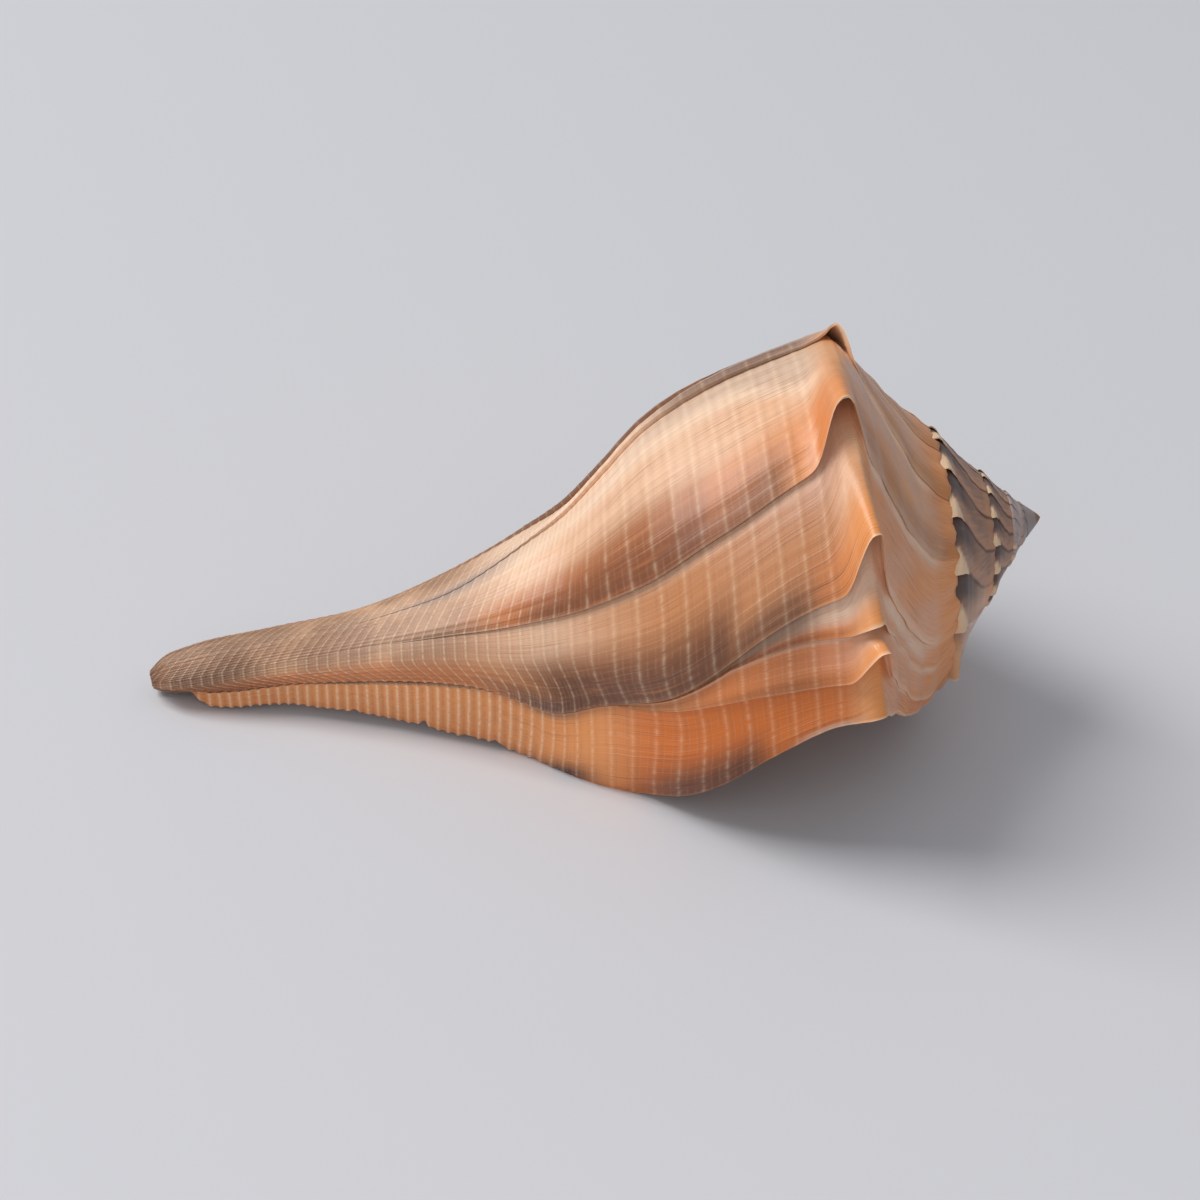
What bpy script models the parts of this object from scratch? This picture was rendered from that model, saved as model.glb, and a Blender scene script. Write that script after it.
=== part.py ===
"""Shell of a lightning whelk, lying on its aperture. Metres, +Z up, narrow end toward -X."""

import math

import bmesh
import bpy
import numpy as np
from mathutils import Matrix

# The coil: a sinistral spiral about one axis, its angles in degrees, 0 at the shoulder of the outer lip
LENGTH = 0.1490           # apex to the end of the canal, along the axis
SHOULDER_RADIUS = 0.0480  # axis to shoulder at the lip
SHOULDER_DROP = 0.0385    # apex to shoulder along the axis, at the lip
DROP_POWER = 0.92         # the spire grows a little slower in height than in width
EARLY_RATE = 0.45         # natural log of the growth in one turn, near the apex
LATE_RATE = 0.82          # the same at the lip
RATE_BEND = 0.4
FIRST_ANGLE = -1660.0

# The section of a whorl: a sloping ramp from the suture to the shoulder, then the flank down to the canal
SUTURE_DROP = 1.06        # height of the suture, as a share of the earlier shoulder's
RAMP_SAG = 0.06
FLANK_AT = (0.0, 0.052, 0.16, 0.216, 0.28, 0.337, 0.398, 0.457, 0.57, 0.70, 0.83, 0.93, 1.0)
FLANK_RADIUS = (0.99, 0.96, 0.885, 0.825, 0.72, 0.58, 0.445, 0.37, 0.245, 0.152, 0.138, 0.128, 0.095)
FLARE_AT = (0.0, 0.20, 0.34, 0.40, 0.46, 0.58, 0.71, 0.84, 1.0)
FLARE_RADIUS = (0.0, 0.03, 0.045, 0.07, 0.10, 0.115, 0.095, 0.015, 0.0)
FLARE_START = -60.0
FLARE_FULL = 35.0

# Growth pauses, each an old lip edge: angle at the shoulder, notch beside the spine, advance on the flank,
# share of the flank where it is full, its power, advance at the suture, spine height
LAST_PAUSES = (
    (-129.0, 5.0, 26.0, 0.60, 2.0, 46.0, 0.0010),
    (-100.0, 3.0, 32.0, 0.60, 10.0, 47.0, 0.0026),
    (-65.5, 9.0, 28.0, 0.52, 1.3, 32.0, 0.0055),
    (-37.0, 10.0, 29.0, 0.42, 2.4, 32.0, 0.0060),
    (-21.0, 2.0, 19.0, 0.42, 3.5, 33.0, 0.0025),
    (-12.0, 2.0, 13.0, 0.42, 4.0, 31.0, 0.0050),
    (-3.0, 1.0, 38.0, 0.42, 3.0, 29.0, 0.0012),
)
PAUSE_GAP = 1.5           # least angle between two old lip edges
NOTCH_SHARE = 0.03        # the notch beside a spine dies away over this share of the flank
NOTCH_SUTURE_SHARE = 0.10  # and over this share of the ramp
EARLIER_PAUSE = (5.0, 33.0, 0.50, 1.3, 43.0)  # notch, advance, share, power and suture advance before those
SPINE_SPACING = 30.0
SPIRE_SPACING = 24.0
SPINE_HEIGHT = 0.0052
SPIRE_SHARE = 0.5
SPIRE_TO = -420.0         # the spire's closer, lower spines give way to the body's over the next angle
SPIRE_BLEND = 300.0
SPINE_AHEAD = 100.0
SPINE_WIDTH = 0.0036
LEAST_SPINE_SCALE = 0.35
WORN_FROM = -320.0        # spines between these angles are worn low, beside the inner lip
WORN_TO = -262.0
WORN_SHARE = 0.3
TALL_TO = -235.0          # the next spine after them is tall, and the shell rests on it
TALL_SHARE = 1.35
SLIM_FROM = -190.0        # the flank of the older half turn is a little slimmer and smoother
SLIM_FULL = -250.0
SLIM_SHARE = 0.055
LEDGE = 0.0013
LEDGE_AT = (-1.0, -0.5, 0.0, 0.1, 0.3, 0.45, 0.62, 1.0)
LEDGE_SHARE = (0.15, 0.3, 0.5, 1.0, 1.1, 0.8, 0.35, 0.25)
SPINE_LEAN = 0.10         # how far a spine leans toward the apex
CANAL_STEP = 0.0060       # the last growth stage ends this much short of the older canal
CANAL_STEP_FROM = -15.0
CANAL_STEP_FULL = 5.0

# The hollow inside the last turn and three quarters, open past the lip
WALL = 0.0019             # thickness at the lip, less in the smaller whorls
GLAZE = 0.0008            # layer over the earlier whorl's flank
LEAST_ROOM = 0.0007
HOLLOW_START = -640.0
HOLLOW_END = 66.0
HOLLOW_STEP = 16.0
HOLLOW_TO = 0.68          # share of the flank where it narrows into the canal
HOLLOW_POINTS = 12
HOLLOW_CROWD = 1.3        # its points crowd toward the suture

# The canal's slot, from inside the lip to past its edge and past the narrow end
CANAL_FROM = 0.60
CANAL_TO = 1.03
CANAL_LOOPS = 8
CANAL_POINTS = 7
CANAL_INSIDE = 75.0
CANAL_OUTSIDE = 50.0
CANAL_WALL = 0.00152
CANAL_CORE = 0.0035
CANAL_LEAST = 0.0008

# The pillar about the axis: heights below the apex and radii
PILLAR_AT = (0.0035, 0.014, 0.030, 0.046, 0.060, 0.100, 0.1490)
PILLAR_RADIUS = (0.0010, 0.0055, 0.0102, 0.0104, 0.0066, 0.0028, 0.0018)
PILLAR_SIDES = 15
BULB_LENGTH = 0.0032
BULB_RADIUS = 0.0021
AXIS_OFFSET = 0.0004      # keeps the inner ends of the wedges off one common line
WELD = 0.000002

# How it lies
ROLL = 91.40              # turn about the coil's own axis
PITCH = -12.16            # then the fall of the narrow end
FLAT_DEPTH = 0.00025      # worn off flat where it touches what it lies on
FLOOR_SIDE = 0.4
FLOOR_DEPTH = 0.1
SHARP_ANGLE = 35.0

# Where the section has points, from the suture over the shoulder to the canal; covered whorls need the top ones
RAMP_COLUMNS = (-1.0, -0.8, -0.55, -0.3, -0.14, -0.05)
FLANK_COLUMNS = (0.0, 0.03, 0.07, 0.12, 0.18, 0.24, 0.30, 0.36, 0.42, 0.48, 0.54, 0.60, 0.67, 0.74, 0.81,
                 0.88, 0.94, 1.0)
FULL_SECTION = RAMP_COLUMNS + FLANK_COLUMNS
SHORT_SECTION = RAMP_COLUMNS + (0.0, 0.03, 0.07, 0.13, 0.22)

# Wedges of the coil, newest first: name, first and last angle, shares of a growth stage that get a row of
# points, section, heights of its three points on the axis
WHORLS = (
    ("shell", -350.0, 0.0, (0.03, 0.4, 0.8, 1.0), FULL_SECTION, (0.030, 0.060, 0.1495)),
    ("second_whorl", -675.0, -325.0, (0.04, 1.0), FULL_SECTION, (0.020, 0.050, 0.149)),
    ("third_whorl", -1010.0, -660.0, (0.03, 0.5, 1.0), SHORT_SECTION, (0.012, 0.025, 0.032)),
    ("fourth_whorl", -1340.0, -990.0, (0.03, 0.5, 1.0), SHORT_SECTION, (0.007, 0.014, 0.022)),
    ("fifth_whorl", -1670.0, -1320.0, (0.05, 1.0), SHORT_SECTION, (0.004, 0.008, 0.014)),
)


def smooth(x):
    """Soft step from 0 to 1."""
    x = np.clip(x, 0.0, 1.0)
    return x * x * (3.0 - 2.0 * x)


def curve(x, at, values):
    """Smooth curve through a few points."""
    at = np.array(at)
    values = np.array(values)
    slope = np.gradient(values, at)
    i = np.clip(np.searchsorted(at, x) - 1, 0, len(at) - 2)
    width = at[i + 1] - at[i]
    s = (x - at[i]) / width
    return (values[i] * (1 + 2 * s) * (1 - s) ** 2 + values[i + 1] * s * s * (3 - 2 * s)
            + width * s * (1 - s) * (slope[i] * (1 - s) - slope[i + 1] * s))


def size(angle):
    """Size of the whorl at a spiral angle, 1 at the lip."""
    turns = np.asarray(angle) / 360.0
    bend = (LATE_RATE - EARLY_RATE) / RATE_BEND
    return np.exp(EARLY_RATE * turns - bend * (1.0 - np.exp(RATE_BEND * turns)))


def shoulder(angle):
    """Height below the apex and radius of the shoulder."""
    return SHOULDER_DROP * size(angle) ** DROP_POWER, SHOULDER_RADIUS * size(angle)


def older(angle):
    """0 on the newest half turn, 1 before it."""
    return smooth((angle - SLIM_FROM) / (SLIM_FULL - SLIM_FROM))


def profile(angle, p):
    """Height below the apex and radius of the smooth section; p is -1 at the suture, 0 shoulder, 1 canal."""
    top_a, top_r = shoulder(np.asarray(angle) - 360.0)
    top_a = top_a * SUTURE_DROP
    edge_a, edge_r = shoulder(angle)
    q = np.clip(1.0 + p, 0.0, 1.0)
    w = np.clip(p, 0.0, 1.0)
    sag = RAMP_SAG * (edge_r - top_r) * 4.0 * q * (1.0 - q)
    ramp_a = top_a + (edge_a - top_a) * q + sag
    ramp_r = top_r + (edge_r - top_r) * q
    flare = curve(w, FLARE_AT, FLARE_RADIUS) * smooth((angle - FLARE_START) / (FLARE_FULL - FLARE_START))
    step = CANAL_STEP * smooth((angle - CANAL_STEP_FROM) / (CANAL_STEP_FULL - CANAL_STEP_FROM))
    flank_a = edge_a + (LENGTH - step - edge_a) * w
    slim = 1.0 - SLIM_SHARE * older(angle) * smooth(w / 0.1)
    flank_r = edge_r * (curve(w, FLANK_AT, FLANK_RADIUS) * slim + flare)
    return np.where(p < 0, ramp_a, flank_a), np.where(p < 0, ramp_r, flank_r)


def raised(angle, p, height):
    """The section's points, raised off the smooth surface."""
    a, r = profile(angle, p)
    step = 0.01
    a0, r0 = profile(angle, np.clip(p - step, -1.0, 1.0))
    a1, r1 = profile(angle, np.clip(p + step, -1.0, 1.0))
    run = np.hypot(a1 - a0, r1 - r0)
    return a - (r1 - r0) / run * height, r + (a1 - a0) / run * height


def all_pauses():
    """Every growth pause from the early spire to the lip."""
    rows = list(LAST_PAUSES)
    angle = rows[0][0]
    while angle > FIRST_ANGLE:
        late = float(smooth((angle - SPIRE_TO) / SPIRE_BLEND))
        angle -= SPIRE_SPACING + (SPINE_SPACING - SPIRE_SPACING) * late
        spine = SPINE_HEIGHT * float(size(angle + SPINE_AHEAD)) * (SPIRE_SHARE + (1.0 - SPIRE_SHARE) * late)
        if WORN_FROM < angle < WORN_TO:
            spine *= WORN_SHARE
        elif WORN_TO < angle < TALL_TO:
            spine *= TALL_SHARE
        notch, reach, full, power, ramp = EARLIER_PAUSE
        rows.insert(0, (angle, notch * late, reach * late, full, power, ramp * late, spine))
    return rows


def pause_angles(pauses, p):
    """Spiral angle of every old lip edge along the section, each a little past the one before."""
    w = np.clip(p, 0.0, 1.0)
    lines = []
    for at, notch, reach, full, power, ramp, spine in pauses:
        bow = np.sin(0.5 * math.pi * np.clip(w / full, 0.0, 1.0)) ** power
        beside = np.where(p < 0, -p / NOTCH_SUTURE_SHARE, p / NOTCH_SHARE)
        line = at + notch * (1.0 - np.exp(-beside)) + reach * bow + ramp * smooth(-p)
        if lines:
            line = np.maximum(line, lines[-1] + PAUSE_GAP)
        lines.append(line)
    return lines


def stage_row(start, end, spine_height, u, p):
    """Points of the surface a share u of the way from one old lip edge to the next."""
    angle = (1.0 - u) * start + u * end
    edge_a, edge_r = shoulder(angle)
    scale = size(angle)
    top_a, top_r = shoulder(angle - 360.0)
    reach = np.where(p < 0, np.hypot(edge_r - top_r, edge_a - top_a * SUTURE_DROP), LENGTH - edge_a)
    off = p * reach / (SPINE_WIDTH * np.maximum(scale, LEAST_SPINE_SCALE))
    spine = spine_height * u ** 3 / (1.0 + off * off) ** 1.5
    ledge = LEDGE * scale * curve(p, LEDGE_AT, LEDGE_SHARE) * u ** 2.2 * (1.0 - 0.5 * older(angle))
    a, r = raised(angle, p, ledge)
    return place(a - SPINE_LEAN * spine, r + spine, angle)


def place(a, r, angle):
    """From height, radius and spiral angle to the shell's own axes: apex at the origin, canal toward -X."""
    turn = np.radians(-angle)
    return np.stack([-a, r * np.sin(turn), r * np.cos(turn)], axis=-1)


def make_object(name, mesh_maker, collection):
    """New object from a bmesh that the maker fills."""
    work = bmesh.new()
    mesh_maker(work)
    mesh = bpy.data.meshes.new(name)
    work.to_mesh(mesh)
    work.free()
    made = bpy.data.objects.new(name, mesh)
    collection.objects.link(made)
    return made


def add_loft(work, rows, top, middle, bottom):
    """Closed solid: a skin of rows, fans to the axis at both ends of the section, fans over both end rows."""
    skin = [[work.verts.new(point) for point in row] for row in rows]
    top_vertex = work.verts.new(top)
    middle_vertex = work.verts.new(middle)
    bottom_vertex = work.verts.new(bottom)
    for i in range(len(skin) - 1):
        here, there = skin[i], skin[i + 1]
        for j in range(len(here) - 1):
            work.faces.new((here[j], here[j + 1], there[j + 1], there[j]))
        work.faces.new((top_vertex, here[0], there[0]))
        work.faces.new((bottom_vertex, there[-1], here[-1]))
    for row, flip in ((skin[0], False), (skin[-1], True)):
        rim = [top_vertex] + row + [bottom_vertex]
        for a, b in zip(rim[:-1], rim[1:]):
            work.faces.new((middle_vertex, a, b) if flip else (middle_vertex, b, a))
    bmesh.ops.triangulate(work, faces=work.faces[:])
    bmesh.ops.recalc_face_normals(work, faces=work.faces[:])


def whorl(name, first, last, shares, columns, heights, collection):
    """One wedge of the coil of less than a full turn, solid to the axis."""
    pauses = all_pauses()
    p = np.array(columns)
    lines = pause_angles(pauses, p)
    rows = []
    for k in range(1, len(pauses)):
        if pauses[k - 1][0] < first or pauses[k][0] > last:
            continue
        for u in shares:
            rows.append(stage_row(lines[k - 1], lines[k], pauses[k][6], u, p))
    away = math.radians(180.0 - first)
    offset = AXIS_OFFSET * float(size(last))
    ends = [(-height, offset * math.sin(away), offset * math.cos(away)) for height in heights]
    return make_object(name, lambda work: add_loft(work, rows, *ends), collection)


def pillar(collection):
    """Core of the coil, a turned shape which fills what the wedges leave about the axis."""
    def fill(work):
        ends = [(-PILLAR_AT[0], 0.0, 0.0)]
        ends += [(-a, 0.0, r) for a, r in zip(PILLAR_AT, PILLAR_RADIUS)]
        ends.append((-PILLAR_AT[-1], 0.0, 0.0))
        line = [work.verts.new(point) for point in ends]
        for here, there in zip(line[:-1], line[1:]):
            work.edges.new((here, there))
    core = make_object("pillar", fill, collection)
    turned = core.modifiers.new("turned", 'SCREW')
    turned.axis = 'X'
    turned.steps = PILLAR_SIDES
    turned.render_steps = PILLAR_SIDES
    turned.use_merge_vertices = True
    turned.merge_threshold = 0.00001
    turned.use_normal_calculate = True
    return core


def apex_bulb(collection):
    """Smooth first whorl at the very tip."""
    def fill(work):
        shape = Matrix.Diagonal((BULB_LENGTH, BULB_RADIUS, BULB_RADIUS, 1.0))
        along = Matrix.Rotation(math.radians(90.0), 4, 'Y')
        bulb = Matrix.Translation((-BULB_LENGTH, 0.0, 0.0)) @ shape @ along
        bmesh.ops.create_uvsphere(work, u_segments=12, v_segments=8, radius=1.0, matrix=bulb)
        bmesh.ops.triangulate(work, faces=work.faces[:])
    return make_object("first_whorl", fill, collection)


def hollow_section(angle):
    """Closed loop of the hollow at one spiral angle: under the outer wall and back along the earlier whorl."""
    p = np.linspace(-1.0, HOLLOW_TO, 180)
    outer_a, outer_r = raised(angle, p, -WALL * size(angle) ** 0.5)
    a = np.linspace(outer_a.min(), outer_a[-1], 120)
    outer = np.interp(a, np.maximum.accumulate(outer_a), outer_r)
    edge_a, edge_r = shoulder(angle - 360.0)
    w = np.clip((a - edge_a) / (LENGTH - edge_a), 0.0, 1.0)
    inner = edge_r * curve(w, FLANK_AT, FLANK_RADIUS) + GLAZE
    room = a[outer - inner > LEAST_ROOM]
    share = np.linspace(0.0, 1.0, HOLLOW_POINTS) ** HOLLOW_CROWD
    chosen = room[0] + (room[-1] - room[0]) * share
    turn = np.full(HOLLOW_POINTS, angle)
    outer_loop = place(chosen, np.interp(chosen, a, outer), turn)
    inner_loop = place(chosen, np.interp(chosen, a, inner), turn)
    return np.concatenate([outer_loop, inner_loop[::-1]])


def canal_section(share):
    """Closed loop of the canal's slot at one share of the flank, from inside the lip out past its edge."""
    p = np.array(share)
    edge = float(pause_angles(LAST_PAUSES, p)[-1])
    angles = np.linspace(edge - CANAL_INSIDE, edge + CANAL_OUTSIDE, CANAL_POINTS)
    outer_r = np.array([float(profile(angle, p)[1]) for angle in angles]) - CANAL_WALL
    outer_r = np.maximum(outer_r, CANAL_CORE + CANAL_LEAST)
    inner_r = np.full(CANAL_POINTS, CANAL_CORE)
    a = np.full(CANAL_POINTS, SHOULDER_DROP + (LENGTH - SHOULDER_DROP) * share)
    return np.concatenate([place(a, outer_r, angles), place(a, inner_r, angles)[::-1]])


def add_tube(work, loops):
    """Closed tube through a run of loops, capped at both ends."""
    rings = [[work.verts.new(point) for point in loop] for loop in loops]
    for here, there in zip(rings[:-1], rings[1:]):
        for j in range(len(here)):
            k = (j + 1) % len(here)
            work.faces.new((here[j], here[k], there[k], there[j]))
    for ring in (rings[0], rings[-1]):
        half = len(ring) // 2
        for j in range(half - 1):
            work.faces.new((ring[j], ring[j + 1], ring[-2 - j], ring[-1 - j]))
    bmesh.ops.triangulate(work, faces=work.faces[:])
    bmesh.ops.recalc_face_normals(work, faces=work.faces[:])


def apply_boolean(target, cutter, operation):
    """Boolean whose result becomes the target's own mesh, with points that fall together welded."""
    step = target.modifiers.new(operation, 'BOOLEAN')
    step.operation = operation
    step.object = cutter
    step.solver = 'EXACT'
    graph = bpy.context.evaluated_depsgraph_get()
    mesh = bpy.data.meshes.new_from_object(target.evaluated_get(graph))
    target.modifiers.clear()
    target.data = mesh
    work = bmesh.new()
    work.from_mesh(target.data)
    bmesh.ops.remove_doubles(work, verts=work.verts[:], dist=WELD)
    bmesh.ops.dissolve_degenerate(work, edges=work.edges[:], dist=WELD)
    bmesh.ops.triangulate(work, faces=work.faces[:])
    work.to_mesh(target.data)
    work.free()


def lie_down(target):
    """Turns the shell to its resting place, over the middle of its own bounds."""
    turn = Matrix.Rotation(math.radians(PITCH), 4, 'Y') @ Matrix.Rotation(math.radians(ROLL), 4, 'X')
    target.data.transform(turn)
    points = np.array([vertex.co[:] for vertex in target.data.vertices])
    low, high = points.min(axis=0), points.max(axis=0)
    middle = (low + high) / 2.0
    target.data.transform(Matrix.Translation((-middle[0], -middle[1], -low[2] - FLAT_DEPTH)))


def floor_block(collection):
    """Block whose top face is at height 0."""
    def fill(work):
        block = Matrix.Diagonal((FLOOR_SIDE, FLOOR_SIDE, FLOOR_DEPTH, 1.0))
        bmesh.ops.create_cube(work, size=1.0, matrix=Matrix.Translation((0.0, 0.0, -FLOOR_DEPTH / 2.0)) @ block)
        bmesh.ops.triangulate(work, faces=work.faces[:])
    return make_object("floor_block", fill, collection)


def shell_material():
    """Glossy tan-orange shell."""
    material = bpy.data.materials.new("shell_tan_orange")
    material.use_nodes = True
    surface = material.node_tree.nodes["Principled BSDF"]
    surface.inputs["Base Color"].default_value = (0.70, 0.42, 0.22, 1.0)
    surface.inputs["Roughness"].default_value = 0.38
    surface.inputs["Metallic"].default_value = 0.0
    return material


def main():
    for thing in list(bpy.data.objects):
        bpy.data.objects.remove(thing, do_unlink=True)
    parts = bpy.data.collections.new("lightning_whelk_shell")
    cutters = bpy.data.collections.new("cutters")
    for collection in (parts, cutters):
        bpy.context.scene.collection.children.link(collection)

    shell = whorl(*WHORLS[0], parts)
    inner = [pillar(cutters)]
    inner += [whorl(*row, cutters) for row in WHORLS[1:]]
    inner.append(apex_bulb(cutters))
    for piece in inner:
        apply_boolean(shell, piece, 'UNION')
    angles = np.arange(HOLLOW_START, HOLLOW_END, HOLLOW_STEP)
    hollow = make_object("hollow", lambda work: add_tube(work, [hollow_section(a) for a in angles]), cutters)
    shares = np.linspace(CANAL_FROM, CANAL_TO, CANAL_LOOPS)
    canal = make_object("canal", lambda work: add_tube(work, [canal_section(s) for s in shares]), cutters)
    apply_boolean(shell, hollow, 'DIFFERENCE')
    apply_boolean(shell, canal, 'DIFFERENCE')
    lie_down(shell)
    apply_boolean(shell, floor_block(cutters), 'DIFFERENCE')
    shell.data.shade_smooth()
    shell.data.set_sharp_from_angle(angle=math.radians(SHARP_ANGLE))
    shell.data.materials.append(shell_material())
    for piece in cutters.objects:
        piece.hide_render = True
        piece.display_type = 'WIRE'


main()
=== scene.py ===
"""Looks of a lightning whelk shell that lies on its aperture on a plain pale floor. Metres, +Z up."""

import math

import bpy
import numpy as np
from mathutils import Matrix


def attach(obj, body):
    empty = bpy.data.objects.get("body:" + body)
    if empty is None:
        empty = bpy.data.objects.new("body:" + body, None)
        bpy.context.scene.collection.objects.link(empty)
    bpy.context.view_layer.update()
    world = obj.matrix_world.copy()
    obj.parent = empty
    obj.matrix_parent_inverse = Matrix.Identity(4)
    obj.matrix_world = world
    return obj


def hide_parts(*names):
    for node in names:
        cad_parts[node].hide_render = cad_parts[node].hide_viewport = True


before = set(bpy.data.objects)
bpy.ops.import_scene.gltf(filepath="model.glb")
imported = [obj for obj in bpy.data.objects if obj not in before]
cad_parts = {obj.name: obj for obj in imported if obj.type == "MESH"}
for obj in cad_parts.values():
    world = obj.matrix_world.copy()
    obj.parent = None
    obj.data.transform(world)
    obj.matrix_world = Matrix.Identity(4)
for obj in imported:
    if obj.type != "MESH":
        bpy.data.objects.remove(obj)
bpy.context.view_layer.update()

# The coil, as in the part's source: angles in degrees, 0 at the shoulder of the outer lip
LENGTH = 0.1490
SHOULDER_RADIUS = 0.0480
SHOULDER_DROP = 0.0385
DROP_POWER = 0.92
EARLY_RATE = 0.45
LATE_RATE = 0.82
RATE_BEND = 0.4
FIRST_ANGLE = -1660.0
SUTURE_DROP = 1.06
RAMP_SAG = 0.06
FLANK_AT = (0.0, 0.052, 0.16, 0.216, 0.28, 0.337, 0.398, 0.457, 0.57, 0.70, 0.83, 0.93, 1.0)
FLANK_RADIUS = (0.99, 0.96, 0.885, 0.825, 0.72, 0.58, 0.445, 0.37, 0.245, 0.152, 0.138, 0.128, 0.095)
FLARE_AT = (0.0, 0.20, 0.34, 0.40, 0.46, 0.58, 0.71, 0.84, 1.0)
FLARE_RADIUS = (0.0, 0.03, 0.045, 0.07, 0.10, 0.115, 0.095, 0.015, 0.0)
FLARE_START = -60.0
FLARE_FULL = 35.0

# Growth pauses: angle at the shoulder, notch beside the spine, advance on the flank, share of the flank
# where it is full, its power, advance at the suture, spine height. Against the plain solid, the second
# spine of the list is higher and the last one before the lip stands further back.
LAST_PAUSES = (
    (-129.0, 5.0, 26.0, 0.60, 2.0, 46.0, 0.0010),
    (-100.0, 3.0, 32.0, 0.60, 10.0, 47.0, 0.0036),
    (-65.5, 9.0, 28.0, 0.52, 1.3, 32.0, 0.0055),
    (-37.0, 10.0, 29.0, 0.42, 2.4, 32.0, 0.0060),
    (-20.5, 1.5, 19.0, 0.42, 3.5, 33.0, 0.0025),
    (-16.5, 6.5, 13.0, 0.42, 4.0, 35.0, 0.0056),
    (-3.0, 1.0, 38.0, 0.42, 3.0, 29.0, 0.0012),
)
PAUSE_GAP = 1.5
NOTCH_SHARE = 0.03
NOTCH_SUTURE_SHARE = 0.10
EARLIER_PAUSE = (5.0, 33.0, 0.50, 1.3, 43.0)
SPINE_SPACING = 30.0
SPIRE_SPACING = 24.0
SPINE_HEIGHT = 0.0052
SPIRE_SHARE = 0.5
SPIRE_TO = -420.0
SPIRE_BLEND = 300.0
SPINE_AHEAD = 100.0
SPINE_WIDTH = 0.0036
LEAST_SPINE_SCALE = 0.35
WORN_FROM = -320.0
WORN_TO = -262.0
WORN_SHARE = 0.3
TALL_TO = -235.0
TALL_SHARE = 1.35
SLIM_FROM = -190.0
SLIM_FULL = -250.0
SLIM_SHARE = 0.055
LEDGE = 0.0013
LEDGE_AT = (-1.0, -0.5, 0.0, 0.1, 0.3, 0.45, 0.62, 1.0)
LEDGE_SHARE = (0.15, 0.3, 0.5, 1.0, 1.1, 0.8, 0.35, 0.25)
SPINE_LEAN = 0.10
CANAL_STEP = 0.0060
CANAL_STEP_FROM = -15.0
CANAL_STEP_FULL = 5.0
WALL = 0.0019

# How it lies
ROLL = 91.40
PITCH = -12.16
SHIFT = (0.07325942, 0.00757465, 0.03355265)

# Fine relief
SWELL = 1.35              # the ledges swell before they roll over to their edge
ROLL_OVER = 0.55
ROLL_FROM = 0.74
NARROW_STAGE = 9.0        # a stage that is narrower than this swells less
SHOULDER_ROUND = 0.0052   # the shoulder is rounded over, by these shares of that reach with these weights
ROUNDING = ((-1.0, 1.0), (-0.5, 2.0), (0.0, 3.0), (0.5, 2.0), (1.0, 1.0))
ROUNDING_SUM = 9.0
SECTION_STEP = 0.01
KNOB_WIDTH = 0.90         # the spines are folds, rounder than the plain solid's
KNOB_TOP = 0.90
SPIRE_KNOB_WIDTH = 1.3

# By growth stage, counted back from the lip: the notch off the shoulder line as a share of the flank, the
# spine off it in metres, where an old edge sinks into the canal, and ledges that are lower than the others
OFF_SHOULDER = {-4: 0.018}
SPINE_OFF = {-4: 0.0021, -5: -0.0022}
FADE_FROM = {-4: 0.56, -3: 2.0, -2: 2.0, -1: 2.0, 0: 2.0}
FADE_OLD = 0.40
LEDGE_PART = {-2: 0.55}

NOSE_FROM = 0.965         # the canal's end is rounded
NOSE_LEAST = 0.5
NOSE_SKIN = 0.0006
EDGE_THICKNESS = 0.0006
SCOOP_LEAST = 0.02        # how far the surface runs back under an old lip edge, as a share of a stage
SCOOP_DEPTH = 0.55        # more of it under a spine
CORD_HEIGHT = 0.00008
CORD_SPACING = 0.0037     # on the body
CORD_CLOSE = 0.0018       # on the lower flank and the canal
CORD_LEAN = 19.0          # cords that an older turn of the canal crosses in a turn
CORD_LEAN_TO = -29.0
FLUTE_HEIGHT = 0.00010    # the cords become flutes along the newest part of the canal
RING_HEIGHT = 0.00006
WAVE_HEIGHT = 0.00020
WOBBLE = 0.45             # degrees by which an old lip edge wanders
SUTURE_CLIMB = 0.0005     # the suture wanders up and down the earlier whorl
SPIRE_SWEEP = 24.0        # the spire's old lip edges lean back toward the suture
BELLY_ADVANCE = 8.0       # the last spined edge bows forward where the body meets the canal
BELLY_AT = 0.45
BELLY_WIDTH = 0.075
BELLY_EDGE = -4
LIP_BELLY = 0.085         # the lip bulges above the canal, as a share of the shoulder's radius
LIP_BELLY_AT = 0.395
LIP_BELLY_WIDTH = 0.065
LIP_BELLY_FROM = 4.0
LIP_BELLY_SPAN = 26.0
LIP_CUT = 5.2             # and ends there where it meets the floor, in degrees
LIP_CUT_AT = 0.40
LIP_CUT_WIDTH = 0.050

# Small breaks in the lip along the canal: share of the flank, width, depth in degrees
NOTCHES = (
    (0.745, 0.007, 5.0),
    (0.640, 0.010, 6.0),
    (0.575, 0.006, 2.5),
    (0.530, 0.009, 3.0),
    (0.480, 0.006, 2.0),
)

# The lip's edge and the inside behind it
LIP_STAGE = 30.0
LIP_WALL = 0.0011         # the lip is thinner than the wall behind it
LIP_ADVANCE = 0.012
LIP_STEPS = ((0.25, 0.35), (0.6, 0.35), (0.9, 0.0))   # share of the wall, share of the advance
CANAL_INNER = 0.0039
INNER_TURN = 300.0
INNER_ROWS = 70

# The tip: a small cone, with the turns that its colour counts from and to
TIP_DEPTH = 0.0034
TIP_SLOPE = 0.90
TIP_ROUND = 0.0003
TIP_TURN = -5.2
TIP_BASE_TURN = -4.1

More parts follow.
